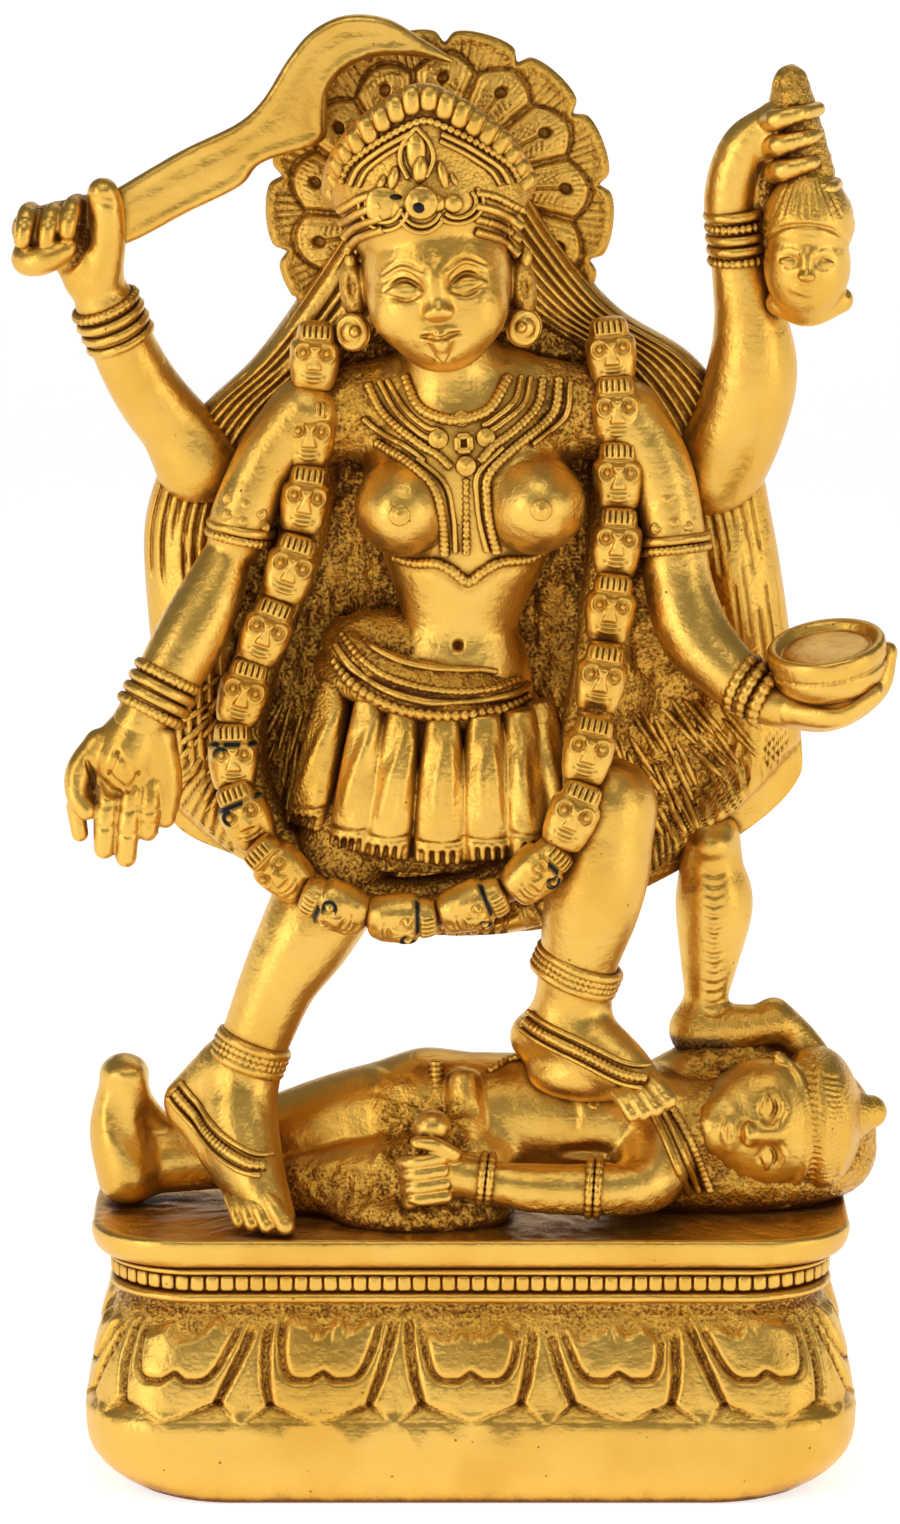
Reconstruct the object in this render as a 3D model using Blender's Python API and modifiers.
"""Cast brass statue of a four-armed goddess standing on a reclining figure, on a lotus plinth.

The statue is one casting, so it is one solid: the plinth and the figures are joined into one body.
Metres, +Z up. The origin is the middle of the plinth's flat underside, and the goddess faces -Y.
"""

import math

import bmesh
import bpy
from mathutils import Euler, Vector

MM = 0.001

# Plinth sizes
PLINTH_LENGTH = 108.7 * MM
PLINTH_DEPTH = 54.0 * MM
CORNER_RADIUS = 13.0 * MM
BAND_HEIGHT = 11.5 * MM
PETAL_HEIGHT = 14.7 * MM
PETAL_SLOPE = 3.6 * MM
PETAL_RELIEF = 1.1 * MM
PETAL_COUNT = 14
NECK_HEIGHT = 0.8 * MM
NECK_INSET = 4.6 * MM
ROLL_HEIGHT = 2.4 * MM
ROLL_PROUD = 1.3 * MM
BEAD_ROW_HEIGHT = 2.4 * MM
BEAD_ROW_PROUD = 0.9 * MM
RIM_HEIGHT = 5.4 * MM
RIM_INSET = 1.2 * MM
RIM_SET_BACK = 1.3 * MM
END_UNDERCUT = 8.0 * MM
FRONT_UNDERCUT = 1.0 * MM

# The figures stand this high over the platform. They are drawn with the platform and the sword's
# top edge at the two heights of DRAWING, and their own size follows FIGURE_HEIGHT
FIGURE_HEIGHT = 167.8 * MM
DRAWING = (37.2, 205.0)
FIGURE_SINK = 1.0 * MM

# Fineness of the faceted casting
GRAIN = 0.6 * MM
FIGURE_TRIANGLES = 7300

PLINTH_HEIGHT = (BAND_HEIGHT + PETAL_HEIGHT + NECK_HEIGHT + ROLL_HEIGHT + BEAD_ROW_HEIGHT
                 + RIM_HEIGHT)
UNIT = FIGURE_HEIGHT / (DRAWING[1] - DRAWING[0])

for old in list(bpy.data.objects):
    bpy.data.objects.remove(old)

statue_collection = bpy.data.collections.new("kali_statue_parts")
bpy.context.scene.collection.children.link(statue_collection)


def brass():
    """Polished yellow brass."""
    made = bpy.data.materials.new("brass")
    made.use_nodes = True
    shader = made.node_tree.nodes["Principled BSDF"]
    shader.inputs["Base Color"].default_value = (0.80, 0.52, 0.16, 1.0)
    shader.inputs["Roughness"].default_value = 0.3
    shader.inputs["Metallic"].default_value = 1.0
    return made


def drawn(x, y, z):
    """A point of the figure drawing, in drawing millimetres, as a place on this statue."""
    return Vector((x * UNIT, y * UNIT, PLINTH_HEIGHT + (z - DRAWING[0]) * UNIT))


# Every form of the figures is kept here until they are cast together
forms = []


def keep(form):
    statue_collection.objects.link(form)
    forms.append(form)
    return form


def ball(centre, radii, turn=(0, 0, 0)):
    """An ellipsoid at a drawn centre, turned by degrees about X, Y and Z."""
    mesh = bpy.data.meshes.new("ball")
    shape = bmesh.new()
    bmesh.ops.create_uvsphere(shape, u_segments=24, v_segments=14, radius=1.0)
    bmesh.ops.scale(shape, vec=Vector(radii) * UNIT, verts=shape.verts)
    shape.to_mesh(mesh)
    shape.free()
    form = keep(bpy.data.objects.new("ball", mesh))
    form.location = drawn(*centre)
    form.rotation_euler = Euler([math.radians(a) for a in turn])
    return form


def limb(points, depth=1.0, smooth=True, round_ends=True):
    """A tube through drawn (x, y, z, radius) points, with a ball on each end; depth flattens it in Y."""
    data = bpy.data.curves.new("limb", "CURVE")
    data.dimensions = "3D"
    data.bevel_depth = UNIT
    data.bevel_resolution = 4
    data.use_fill_caps = True
    data.resolution_u = 6 if smooth else 1
    spline = data.splines.new("BEZIER")
    spline.bezier_points.add(len(points) - 1)
    middle = sum(p[1] for p in points) / len(points)
    for place, (x, y, z, radius) in zip(spline.bezier_points, points):
        place.co = drawn(x, middle + (y - middle) / depth, z)
        place.radius = radius
        place.handle_left_type = place.handle_right_type = "AUTO" if smooth else "VECTOR"
    form = keep(bpy.data.objects.new("limb", data))
    form.location.y = drawn(0, middle, 0).y * (1 - depth)
    form.scale.y = depth
    if round_ends:
        for x, y, z, radius in (points[0], points[-1]):
            ball((x, y, z), (radius, radius * depth, radius))
    return form


def sheet(outline, y, thickness, rounding):
    """A flat plate with rounded edges, standing in the XZ plane, with a smooth drawn outline."""
    data = bpy.data.curves.new("sheet", "CURVE")
    data.dimensions = "2D"
    data.fill_mode = "BOTH"
    data.extrude = (thickness / 2 - rounding) * UNIT
    data.bevel_depth = rounding * UNIT
    data.bevel_resolution = 2
    data.resolution_u = 4
    spline = data.splines.new("BEZIER")
    spline.bezier_points.add(len(outline) - 1)
    for place, (x, z) in zip(spline.bezier_points, outline):
        place.co = (x * UNIT, (z - DRAWING[0]) * UNIT, 0)
        place.handle_left_type = place.handle_right_type = "AUTO"
    spline.use_cyclic_u = True
    form = keep(bpy.data.objects.new("sheet", data))
    form.rotation_euler.x = math.radians(90)
    form.location = (0, y * UNIT, PLINTH_HEIGHT)
    return form


def between(a, b, t):
    return tuple(p + (q - p) * t for p, q in zip(a, b))


def along(points, t):
    """The place at share t of a chain of points, counted by points."""
    step = min(t * (len(points) - 1), len(points) - 1.0001)
    first = int(step)
    return between(points[first], points[first + 1], step - first)


# Lotus plinth: rings of one rounded-rectangle outline, stacked from the underside to the platform
def ring_place(half_length, half_depth, share):
    """The (x, y) place at a share of the way round, counted from the middle of the front to the right."""
    straight_x = half_length - CORNER_RADIUS
    straight_y = half_depth - CORNER_RADIUS
    arc = math.pi * CORNER_RADIUS / 2
    quarter, part_way = divmod(share % 1 * 4, 1)
    if quarter % 2:
        part_way = 1 - part_way
    run = part_way * (straight_x + arc + straight_y)
    if run < straight_x:
        x, y = run, -half_depth
    elif run < straight_x + arc:
        turn = (run - straight_x) / CORNER_RADIUS
        x = straight_x + CORNER_RADIUS * math.sin(turn)
        y = -straight_y - CORNER_RADIUS * math.cos(turn)
    else:
        x, y = half_length, run - straight_x - arc - straight_y
    return (x if quarter < 2 else -x), (y if quarter in (0, 3) else -y)


def petal_steps(up):
    """(place across one petal from -1 to 1, relief from 0 to 1) at a share up the row, narrowing below to a tip."""
    half = max(0.16, 0.86 * math.sqrt(1 - (1 - up) ** 3))
    edge = 0.04
    return [(-1.0, 0.0), (-half - edge, 0.0), (-half + edge, 0.85), (-0.45 * half, 1.0),
            (0.45 * half, 1.0), (half - edge, 0.85), (half + edge, 0.0)]


def plinth_rows():
    """(height, inset at the ends, inset at the front and back, share up the petals or None) from the bottom up."""
    rows = [
        (0.0, END_UNDERCUT, FRONT_UNDERCUT, None),
        (0.12 * BAND_HEIGHT, 0.55 * END_UNDERCUT, 0.45 * FRONT_UNDERCUT, None),
        (0.35 * BAND_HEIGHT, 0.2 * END_UNDERCUT, 0.1 * FRONT_UNDERCUT, None),
        (0.65 * BAND_HEIGHT, 0.03 * END_UNDERCUT, 0.0, None),
        (BAND_HEIGHT, 0.0, 0.0, None),
    ]
    for up in (0.06, 0.12, 0.25, 0.45, 0.7, 0.95):
        slope = PETAL_SLOPE * up ** 1.5 + PETAL_RELIEF
        rows.append((BAND_HEIGHT + PETAL_HEIGHT * up, slope, slope, up))
    level = BAND_HEIGHT + PETAL_HEIGHT
    rows.append((level, NECK_INSET, NECK_INSET, None))
    level += NECK_HEIGHT
    for turn in (0, 60, 120, 180):
        inset = NECK_INSET - ROLL_PROUD * math.sin(math.radians(turn))
        height = level + ROLL_HEIGHT * (1 - math.cos(math.radians(turn))) / 2
        rows.append((height, inset, inset, None))
    level += ROLL_HEIGHT
    bead_inset = NECK_INSET - BEAD_ROW_PROUD
    rows.append((level + 0.1 * BEAD_ROW_HEIGHT, bead_inset, bead_inset, None))
    rows.append((level + 0.9 * BEAD_ROW_HEIGHT, bead_inset, bead_inset, None))
    level += BEAD_ROW_HEIGHT
    rows.append((level + 0.05 * RIM_HEIGHT, NECK_INSET, NECK_INSET, None))
    rows.append((level + 0.3 * RIM_HEIGHT, RIM_INSET + 0.4 * RIM_SET_BACK, RIM_INSET + 1.4 * RIM_SET_BACK, None))
    rows.append((PLINTH_HEIGHT, RIM_INSET, RIM_INSET + RIM_SET_BACK, None))
    return rows


def make_plinth():
    shape = bmesh.new()
    rings = []
    for height, end_inset, front_inset, up in plinth_rows():
        half_length = PLINTH_LENGTH / 2 - end_inset
        half_depth = PLINTH_DEPTH / 2 - front_inset
        ring = []
        for petal in range(PETAL_COUNT):
            for across, raised in petal_steps(1.0 if up is None else up):
                x, y = ring_place(half_length, half_depth, (petal + across / 2) / PETAL_COUNT)
                out = 0.0 if up is None else PETAL_RELIEF * raised
                place = (x * (1 + out / half_length), y * (1 + out / half_depth), height)
                ring.append(shape.verts.new(place))
        rings.append(ring)
    for lower, upper in zip(rings, rings[1:]):
        for index, corner in enumerate(lower):
            after = (index + 1) % len(lower)
            shape.faces.new((corner, lower[after], upper[after], upper[index]))
    shape.faces.new(list(reversed(rings[0])))
    shape.faces.new(rings[-1])
    mesh = bpy.data.meshes.new("plinth")
    bmesh.ops.triangulate(shape, faces=shape.faces)
    shape.to_mesh(mesh)
    shape.free()
    plinth = bpy.data.objects.new("kali_statue", mesh)
    statue_collection.objects.link(plinth)
    return plinth


# Reclining god: legs to the left, head to the right, one arm along the front edge
def reclining_god():
    limb([(-6, 0, 49.5, 9), (7, -2, 49.3, 9.4), (19, -3, 49, 10), (27, -3, 47, 8.5)], depth=0.95)
    limb([(-6, 0, 49.5, 9), (-17, 1, 47.5, 8), (-27, 1.5, 45.5, 6.4), (-36, 1, 43.5, 5), (-46, 0, 42.5, 4.6)])
    limb([(-48.5, -2, 41.5, 4.6), (-50, -2, 48, 3.9), (-49, -2, 55, 3.2)], depth=1.3)
    ball((-49, -2, 56), (3.4, 4.6, 2.4))
    limb([(26, -11, 46, 5.6), (24, -15.5, 43, 4.2), (16.6, -17.5, 42.6, 3.8), (8, -18, 43, 3.6), (1.5, -18, 44, 2.9)])
    for x, z in ((2.6, 44), (17, 42.8)):
        limb([(x, -18, z, 4.2), (x + 1.6, -18, z, 4.2)], smooth=False)
    ball((-4.6, -17.5, 45.4), (4.4, 3.4, 4.4), (0, 35, 0))
    for step in range(4):
        limb([(-5.5, -20, 48 - 1.9 * step, 1.1), (-9, -18.5, 46.8 - 2.0 * step, 1.0)])
    limb([(-5.4, -17, 51.4, 2.6), (-5, -16.5, 47, 1.6)])
    limb([(-7, -17, 48, 2.0), (-1, -10, 50, 3.0), (-1, -8, 56, 2.4)])
    # The neck, the face turned to the front, the hair behind it and its topknot
    limb([(26, -5, 48, 7), (35, -6, 49.5, 6.2)])
    ball((41.8, -6.5, 49.7), (9.8, 7.2, 9.6))
    ball((32.8, -9.5, 49.8), (2.6, 3.2, 3.6))
    ball((40.6, -13.2, 49.8), (2.2, 1.6, 1.4))
    ball((47.6, -3, 49.6), (7.2, 9.2, 10))
    limb([(48, -3, 50, 5), (54.9, -2, 50.4, 3.3)])
    limb([(27, 3, 50, 6.5), (38, 4, 54.6, 6.4), (49, 3, 49, 7.5), (51, 3, 44, 7)])
    ball((36, 0, 42), (20, 11, 7))
    # Tiger skin over the hips
    ball((-8, -9, 44), (11, 6, 9))
    limb([(-13, -9, 53.5, 1.8), (-14, -12, 47, 2.0), (-12, -14, 41, 2.2)])


# Leg that stands behind the god's head
def small_leg():
    limb([(33.9, 4, 88.6, 4.3), (34.2, 4.4, 84, 4.6), (34.6, 4.6, 79, 5.5), (34, 4.2, 71.5, 4.2),
          (33.4, 4, 65.5, 3.1), (32.2, 4, 61, 3.8)])
    ball((33.9, 2.6, 87.6), (3.2, 3.4, 2.9))
    limb([(32.5, 4, 60.8, 3.6), (38, 2.4, 61.4, 3.5), (43.8, 0.8, 62.4, 2.5)])
    limb([(43, 2, 63.2, 2.8), (47, 1.5, 59.6, 2.6), (50.4, 0, 55, 2.6)])


# Legs of the goddess
def goddess_legs():
    limb([(-13, -3, 99, 9), (-18.5, -6.5, 86, 7.6), (-22.7, -9, 78, 6.7), (-27, -9.6, 70.5, 5.4),
          (-31.6, -9, 58.7, 4.6)])
    limb([(-31.9, -8.6, 58.5, 4.9), (-32.4, -11, 51.5, 5.4), (-30.2, -16, 44.6, 4.3), (-27, -20.4, 39.3, 2.7)])
    limb([(-33, -8.2, 55.5, 4.6), (-39.2, -6.5, 51.8, 3.2)])
    limb([(-39.4, -7, 51, 2.6), (-34, -11.5, 45.5, 3.4), (-30, -16, 41.5, 3.4)])
    limb([(2, -2, 101, 9), (11, -7, 98.2, 7.4), (18.8, -11.8, 95.8, 6.8)])
    limb([(19, -11.8, 96.2, 6.6), (18, -12.4, 88, 7), (16.8, -12, 82, 6.7), (15.1, -10.5, 74, 5.5),
          (14.4, -9, 68, 5.4), (14, -8.6, 64.5, 5.4)])
    limb([(13.4, -9, 63.8, 5.2), (18, -12, 61.4, 4.6), (22, -15, 58.8, 3.7), (24.8, -18, 56.2, 2.6)])
    limb([(13, -8.5, 64, 5), (9.4, -7.2, 62.4, 3.9)])
    ball((17, -9, 57.5), (9, 6, 4))


# Skirt of hanging panels under a belt of two beaded rows
SKIRT_TOPS = [(-18.7, -7.5, 113), (-13.7, -10.5, 111.4), (-9.3, -12, 110), (-3.9, -12.6, 109.2), (1.7, -12.4, 109.2),
              (6.5, -10.8, 109.6), (9.5, -8, 110.4)]
SKIRT_HEMS = [(-22.6, -9.5, 95), (-16.7, -12.6, 92.4), (-11.5, -14, 91.6), (-4.3, -14.8, 91), (2.5, -15.2, 91.6),
              (8.4, -16, 92.4), (13.4, -15, 93.4)]


def skirt():
    limb([(-5, -2, 113, 12.4), (-5, -2.4, 104, 15.6), (-5, -2.8, 94, 18.2)], 0.66, smooth=False,
         round_ends=False)
    for top, hem in zip(SKIRT_TOPS, SKIRT_HEMS):
        limb([(*top, 2.3), (*between(top, hem, 0.5), 2.9), (*hem, 3.3)], depth=0.7)
    for drop, out, radius in ((0, 0.4, 1.6), (3.6, 1.5, 1.7)):
        belt = []
        for index in range(9):
            turn = math.radians(-95 + 190 * index / 8)
            belt.append((-6.2 + (13 + out) * math.sin(turn), -2.4 - (9.4 + out) * math.cos(turn),
                         115.4 - drop - 2.8 * math.sin(turn) - 2 * math.cos(turn), radius))
        limb(belt)


# Torso, neck and breasts
def torso():
    limb([(-1.8, -2.5, 112, 10.6), (-1.6, -3, 119, 8.2), (-1.2, -3, 125, 8.9), (-0.8, -2.6, 133, 11.8),
          (-0.6, -2, 142, 14.2), (-0.8, -1, 149, 11.5)], depth=0.72)
    limb([(-21.5, -1, 148.6, 6.2), (-12, 0, 151, 6.4), (-2, 0.5, 152.5, 6.5), (10, 0, 151, 6.4),
          (20, -1, 149, 6.2)], depth=0.85)
    limb([(-2.2, -3, 148, 7), (-2.6, -3.4, 153, 6.2), (-3.4, -3.6, 160, 6.2)])
    ball((-9.3, -8.8, 137.6), (6.8, 7.0, 6.8))
    ball((8.8, -8.8, 138), (7.1, 7.0, 6.9))
    limb([(-13, -7, 130.8, 1.2), (-6, -10.5, 130.2, 1.3), (-0.6, -11, 127.2, 1.4), (5, -10.4, 130.4, 1.3),
          (12, -7, 131.4, 1.2)])
    for out, drop in ((0, 0), (4.2, 3.6)):
        limb([(-9.5 - out, -5, 154 - drop, 1.3), (-7 - out / 2, -9, 149.4 - drop, 1.3),
              (-1.6, -11, 146.4 - drop, 1.5), (3.6 + out / 2, -9, 149.6 - drop, 1.3),
              (6 + out, -5, 154.4 - drop, 1.3)])
    limb([(-1, -11, 144, 1.8), (-0.9, -11.6, 136, 1.3), (-0.8, -11, 129, 1.1)])


# Lower pair of arms: an open hand on the left, a bowl held on the right
def lower_arms():
    limb([(-23, -2.6, 149.4, 5.6), (-28, -3.6, 143.6, 4.7), (-31.9, -5, 135.4, 4.4), (-32.6, -5, 132.6, 3.9)])
    limb([(-32, -6, 136.4, 4.6), (-32.8, -5.8, 133.6, 4.4)], smooth=False)
    limb([(-33.2, -4.6, 132, 3.2), (-36.4, -7, 124.4, 4.6), (-39.4, -9, 118.6, 5.0), (-44.2, -12, 110.6, 4.2)])
    for step in range(3):
        limb([(-42.4 - 0.9 * step, -11.4, 113.4 - 1.8 * step, 4.8), (-42.8 - 0.9 * step, -11.6, 112.6 - 1.8 * step, 4.8)],
             smooth=False)
    ball((-48, -13.2, 102.6), (5.8, 3.4, 6.6), (0, 12, 0))
    limb([(-46, -12.4, 107.6, 4.0), (-48, -13.2, 103, 4.4)])
    limb([(-50, -14.4, 98.6, 1.8), (-50.8, -15, 91, 1.5)])
    limb([(-47.3, -14.6, 98.6, 1.8), (-47.9, -15, 89.8, 1.5)])
    limb([(-44.8, -14.2, 99.4, 1.8), (-45, -14.8, 93.4, 1.7)])
    limb([(-42.8, -13.2, 100, 1.7), (-42.8, -13.6, 94.8, 1.6)])
    limb([(-51.6, -13.2, 104.4, 2.4), (-54, -14.6, 99.4, 2.0), (-53.6, -15.6, 95, 1.6)])
    limb([(21.4, -2.4, 149.2, 5.6), (25.8, -3.8, 142.4, 4.9), (27.9, -5, 134, 4.6), (28.8, -6, 126.6, 4.8),
          (31.2, -8, 119.6, 5.0), (36, -11, 114.6, 4.2), (41, -13.4, 111.2, 3.3)])
    limb([(27.3, -5, 136, 5.2), (27.8, -5.2, 133.4, 5.2)], smooth=False)
    for step in range(2):
        limb([(37.8 + 2 * step, -12, 113.4 - 1.2 * step, 4.4), (38.5 + 2 * step, -12.4, 113 - 1.2 * step, 4.4)],
             smooth=False)
    limb([(41, -13.4, 111.2, 3.0), (49, -15, 110.6, 3.4), (55.6, -15, 113.6, 2.6), (57.8, -14.6, 118.6, 1.6)])


# Skull bowl: a turned cup, tipped towards the viewer
def bowl():
    profile = [(8.0, 3.6), (8.3, 2.6), (8.2, 0.4), (7.4, -2.0), (5.0, -4.0), (0.0, -4.2)]
    mesh = bpy.data.meshes.new("bowl")
    shape = bmesh.new()
    inner = [(0.0, 2.5), (6.4, 2.5), (7.0, 3.6)]
    points = [shape.verts.new((radius * UNIT, 0, height * UNIT)) for radius, height in inner + profile]
    for first, second in zip(points, points[1:]):
        shape.edges.new((first, second))
    shape.to_mesh(mesh)
    shape.free()
    form = keep(bpy.data.objects.new("bowl", mesh))
    form.location = drawn(49.4, -14.4, 116.4)
    form.rotation_euler = Euler([math.radians(a) for a in (14, -9, 0)])
    turned = form.modifiers.new("turned", "SCREW")
    turned.axis = "Z"
    turned.steps = turned.render_steps = 32
    turned.use_merge_vertices = True
    turned.merge_threshold = 0.05 * MM


# Upper pair of arms, with the sword in the left hand and the severed head in the right
def upper_arms():
    limb([(-38, 4, 142, 6.2), (-41, 3, 147, 5.2), (-44.4, 1.5, 151.6, 4.9), (-47.4, 0, 157, 4.6), (-50.6, -2, 165, 4.2)])
    for step in range(3):
        limb([(-48.8 - 0.8 * step, -1, 161 + 2 * step, 4.9), (-49.1 - 0.8 * step, -1, 161.7 + 2 * step, 4.9)],
             smooth=False)
    ball((-52.2, -3, 170), (4.6, 3.8, 5.6), (0, -18, 0))
    for step in range(4):
        limb([(-53.6 - 1.7 * step, -6.6, 178 - 1.8 * step, 1.7), (-55.8 - 1.7 * step, -7.4, 173.6 - 1.5 * step, 1.6)])
    ball((-57, -4, 174), (4.6, 3.8, 4.4))
    limb([(-50.4, -4.6, 173, 2.6), (-49.4, -6, 178.4, 2.2), (-49.8, -6.4, 182.4, 1.8)])
    limb([(34, 5, 141, 7.2), (37.4, 2.6, 148, 6.6), (39.2, 1, 155.4, 6.3), (38.8, 0, 163, 5.0), (36.8, -1, 172.6, 3.7),
          (35.8, -2, 180, 3.6), (37.6, -3, 186.6, 3.4), (41.6, -4.4, 190.6, 2.6)])
    for step in range(3):
        limb([(36.4 - 0.1 * step, -1.2, 172 + 2.4 * step, 4.3), (36.3 - 0.1 * step, -1.3, 172.8 + 2.4 * step, 4.3)],
             smooth=False)


def sword():
    outline = [(-47.7, 181.6), (-40.1, 186.3), (-32.5, 189.9), (-28.8, 193.2), (-25.4, 198.6), (-22, 202.6),
               (-17.3, 204.8), (-11.8, 204.4), (-7, 201.7), (-1.8, 198.1), (-7, 199.0), (-12.5, 199.2),
               (-16.9, 197.7), (-19.6, 194.5), (-20, 190.7), (-20.7, 187.4), (-28.8, 184.7), (-31.8, 181.5),
               (-38.7, 178.1), (-47, 174.2)]
    blade = sheet(outline, 0, 3.6, 1.2)
    # The blade swings back from the fist until its tip lies on the halo
    blade.rotation_euler.z = math.radians(6.5)
    blade.location.y = 1.6 * UNIT
    limb([(-47, -4.4, 178, 2.6), (-57, -5, 174.2, 2.2), (-61.6, -5, 172.6, 2.4)])


def severed_head():
    limb([(43.4, -5, 196.2, 2.6), (44, -5.4, 190, 3.0), (45, -6, 183, 3.4), (45.4, -6.6, 178, 5.0)])
    for step in range(4):
        limb([(41.8 + 0.6 * step, -7, 192 - 3.4 * step, 1.5), (44.4 + 0.5 * step, -8.2, 191.6 - 3.3 * step, 1.5),
              (47 + 0.5 * step, -6.4, 192 - 3.3 * step, 1.4)])
    ball((45.8, -6.6, 171.4), (6.0, 5.4, 8.0))
    ball((45.6, -12.2, 170.8), (1.2, 1.2, 1.8))
    limb([(41, -4, 165.4, 2.2), (46, -5.6, 164.2, 2.4), (50.6, -5, 166, 1.6)])


# Cloak of loose hair that hangs behind the whole figure
HAIR_LEFT_EDGE = [(-17, 176), (-23.4, 166.3), (-30.4, 156.8), (-37.4, 150.2), (-42.4, 143.6), (-45.2, 136.6),
                  (-46, 129.6), (-45.2, 116.8), (-44.2, 102.6), (-42.2, 90.8), (-32, 85.2)]
HAIR_BOTTOM = [(-22, 79.4), (-12, 75.6), (-2, 74.6), (12, 75.6), (24, 80.8)]
HAIR_RIGHT_EDGE = [(38.4, 89), (46, 96.2), (46.8, 103), (44.6, 121), (42.4, 134), (39.6, 144.6), (31.6, 156.6),
                   (20.4, 164), (12, 174)]


def hair():
    sheet(HAIR_LEFT_EDGE + HAIR_BOTTOM + HAIR_RIGHT_EDGE + [(6, 184), (-12, 184)], 6, 6.4, 2.4)
    ball((-2, 6, 120), (34, 7.5, 42))
    for edge, inner in ((HAIR_LEFT_EDGE[1:], (-18, 164)), (HAIR_RIGHT_EDGE[::-1][1:], (10, 164))):
        for lock in range(6):
            share = 0.06 + 0.13 * lock
            radius = 1.9 - 0.12 * lock
            path = []
            for step in range(7):
                x, z = along(edge, step / 6 * 0.93)
                x, z = between((x, z), (inner[0] * 0.8, inner[1] - (inner[1] - z) * 1.02), share)
                path.append((x, 3.2 - 0.6 * lock, z, radius))
            limb(path)
    for lock in range(11):
        across = lock / 10 * 2 - 1
        path = []
        for step in range(6):
            down = step / 5
            width = 12 + 27 * math.sin(math.pi * min(0.55, down * 0.9))
            foot = 92 - 13 * (1 - across * across)
            z = 176 + (foot - 176) * down
            path.append((-2 + across * width, 9.6 + 2.4 * math.cos(across * 1.4), z, 2.7))
        limb(path)


HALO_CENTRE = (-4.3, 178.4)
HALO_RADIUS = 24.3
HALO_NOTCH = 1.9
LOBE_PITCH = 27.2
LOBE_TURNS = [-34 + LOBE_PITCH * lobe for lobe in range(10)]


def halo():
    """Scalloped disc of feathers behind the head."""
    middle_x, middle_z = HALO_CENTRE
    outline = []
    for turn in LOBE_TURNS:
        for offset, inward in ((-LOBE_PITCH / 2, HALO_NOTCH), (-8, 0.25), (0, 0), (8, 0.25)):
            angle = math.radians(turn + offset)
            reach = HALO_RADIUS - inward
            outline.append((middle_x + reach * math.cos(angle), middle_z + reach * math.sin(angle)))
    sheet(outline, 6, 4, 0.9)
    for turn in LOBE_TURNS[1:]:
        feather = turn - LOBE_PITCH / 2
        x = middle_x + 17 * math.cos(math.radians(feather))
        z = middle_z + 17 * math.sin(math.radians(feather))
        ball((x, 4.2, z), (5.2, 1.5, 3.4), (0, -feather, 0))


# Head, ears and crown
def head():
    lean = 6
    ball((-4.7, -4.4, 169.6), (10.5, 10.6, 12.6), (0, -lean, 0))
    ball((-3.6, -9.6, 160.6), (5.0, 4.6, 3.8))
    for side in (-1, 1):
        ball((-4.4 + 4.6 * side, -10.4, 165), (4.4, 4.0, 4.6))
        ball((-4.6 + 11.8 * side, -3.6, 167.2 - 0.6 * side), (2.0, 2.8, 4.8))
        ball((-4.4 + 11.8 * side, -4.8, 161.6 - 0.3 * side), (2.6, 2.4, 2.8))
    limb([(-5.2, -14.4, 171.6, 1.0), (-4.8, -15.8, 167.4, 1.5)])
    ball((-4.2, -14.6, 163), (3.0, 1.4, 1.0))
    limb([(-4.2, -14.6, 162.4, 1.9), (-4, -14.6, 160.2, 1.5)])


def crown():
    ball((-6.2, -2.6, 179.6), (12.6, 11.4, 11.6), (0, -6, 0))
    ridge = [(-18.6, -3.6, 180.4, 2.0), (-16.8, -8, 186, 2.1), (-12.6, -10.4, 190.6, 2.1), (-8.6, -11, 193, 2.2),
             (-3.6, -10.6, 190.8, 2.1), (2, -9, 187.6, 2.1), (6.4, -4.4, 181.4, 2.0)]
    limb(ridge)
    limb([(-17.6, -4.6, 176.4, 1.3), (-14, -11.4, 179.4, 1.4), (-6.6, -14.4, 180, 1.4), (1, -12, 180.4, 1.4),
          (5.6, -5, 177, 1.3)])
    ball((-7.4, -13.4, 186), (2.8, 1.7, 4.2))
    ball((-6.7, -15, 179.6), (2.9, 1.6, 2.9))
    for side in (-1, 1):
        ball((-6.7 + 4.4 * side, -14.2, 180), (2.6, 1.5, 2.4))


# Garland of severed heads, from both shoulders down to the knees
GARLAND = [(-21.6, -4, 158), (-22.3, -5.4, 147.4), (-22.9, -6.6, 138.4), (-25, -8, 129), (-28.4, -8.6, 120.2),
           (-31.6, -9, 111.6), (-33, -10, 102.8), (-31.3, -12, 95), (-26.5, -15.6, 88.2), (-18.8, -18.4, 83.4),
           (-9.5, -19, 81.8), (0.2, -19, 83.6), (9, -19.4, 88.6), (14, -20, 96.4), (16.2, -18.6, 105.4),
           (18, -14, 114.6), (19.3, -10, 123.7), (20.2, -8, 132.7), (20.4, -6.6, 141.7), (20.2, -5.4, 150.7),
           (19.4, -3.4, 158.6)]


def garland():
    limb([(x, y + 3.4, z, 2.9) for x, y, z in GARLAND])
    limb([(x * 0.97, max(y + 8.5, -11), z + 0.6, 3.6) for x, y, z in GARLAND])
    for index, place in enumerate(GARLAND):
        before = Vector(GARLAND[max(index - 1, 0)])
        after = Vector(GARLAND[min(index + 1, len(GARLAND) - 1)])
        run = after - before
        tilt = math.degrees(math.atan2(run.x, run.z))
        ball(place, (3.3, 2.9, 4.4), (0, tilt, 0))


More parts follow.
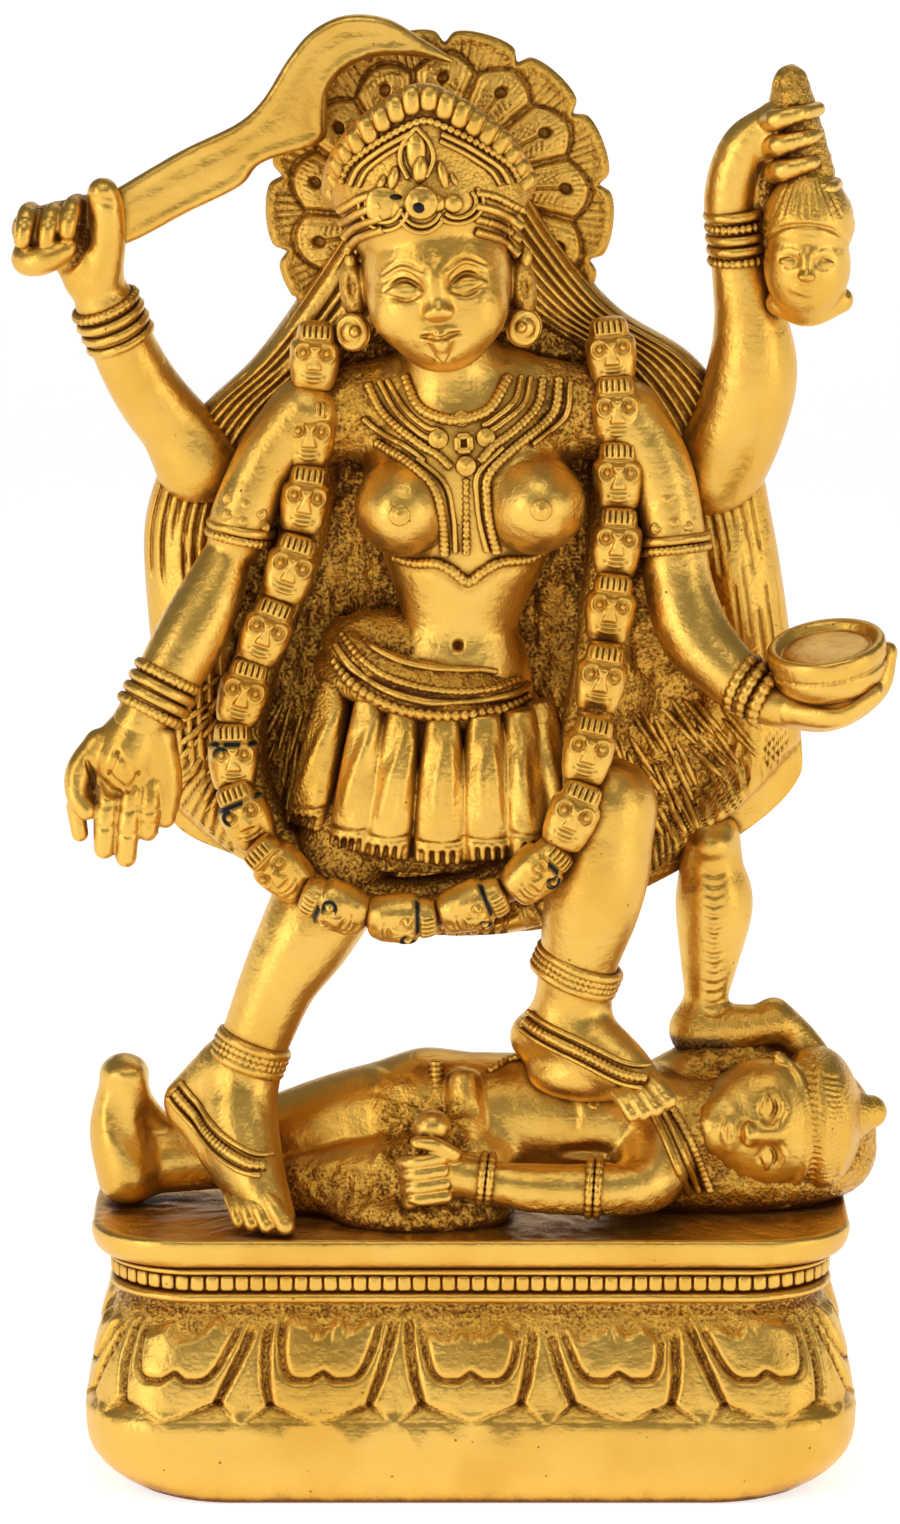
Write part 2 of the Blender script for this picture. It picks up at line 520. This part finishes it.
def cast_figures():
    """Joins every form into one closed skin and thins it out to the chosen number of triangles."""
    graph = bpy.context.evaluated_depsgraph_get()
    joined = bmesh.new()
    for form in forms:
        mesh = bpy.data.meshes.new_from_object(form.evaluated_get(graph))
        mesh.transform(form.matrix_world)
        joined.from_mesh(mesh)
        bpy.data.meshes.remove(mesh)
    skin = bpy.data.meshes.new("figures")
    joined.to_mesh(skin)
    joined.free()
    figures = bpy.data.objects.new("figures", skin)
    statue_collection.objects.link(figures)
    for form in forms:
        bpy.data.objects.remove(form)
    fused = figures.modifiers.new("fused", "REMESH")
    fused.mode = "VOXEL"
    fused.voxel_size = GRAIN
    fused.adaptivity = 0.0
    eased = figures.modifiers.new("eased", "SMOOTH")
    eased.factor = 0.5
    eased.iterations = 2
    graph = bpy.context.evaluated_depsgraph_get()
    fine = bpy.data.meshes.new_from_object(figures.evaluated_get(graph))
    figures.modifiers.clear()
    figures.data = fine
    thinned = figures.modifiers.new("thinned", "DECIMATE")
    thinned.ratio = FIGURE_TRIANGLES / (2 * len(fine.polygons))
    thinned.use_collapse_triangulate = True
    return figures


def cut_below_platform(figures):
    """Takes off what of the figures lies more than FIGURE_SINK below the platform."""
    graph = bpy.context.evaluated_depsgraph_get()
    mesh = bpy.data.meshes.new_from_object(figures.evaluated_get(graph))
    figures.modifiers.clear()
    shape = bmesh.new()
    shape.from_mesh(mesh)
    level = (0, 0, PLINTH_HEIGHT - FIGURE_SINK)
    everything = shape.verts[:] + shape.edges[:] + shape.faces[:]
    bmesh.ops.bisect_plane(shape, geom=everything, dist=1e-7, plane_co=level, plane_no=(0, 0, -1),
                           clear_outer=True)
    bmesh.ops.holes_fill(shape, edges=[e for e in shape.edges if e.is_boundary], sides=0)
    bmesh.ops.triangulate(shape, faces=shape.faces)
    shape.to_mesh(mesh)
    shape.free()
    figures.data = mesh


def build():
    plinth = make_plinth()
    reclining_god()
    small_leg()
    goddess_legs()
    skirt()
    torso()
    lower_arms()
    bowl()
    upper_arms()
    sword()
    severed_head()
    hair()
    halo()
    head()
    crown()
    garland()
    bpy.context.view_layer.update()
    figures = cast_figures()
    bpy.context.view_layer.update()
    cut_below_platform(figures)
    figures.hide_render = True
    figures.display_type = "WIRE"
    joined = plinth.modifiers.new("cast_in_one", "BOOLEAN")
    joined.operation = "UNION"
    joined.solver = "EXACT"
    joined.object = figures
    plinth.data.materials.append(brass())


build()
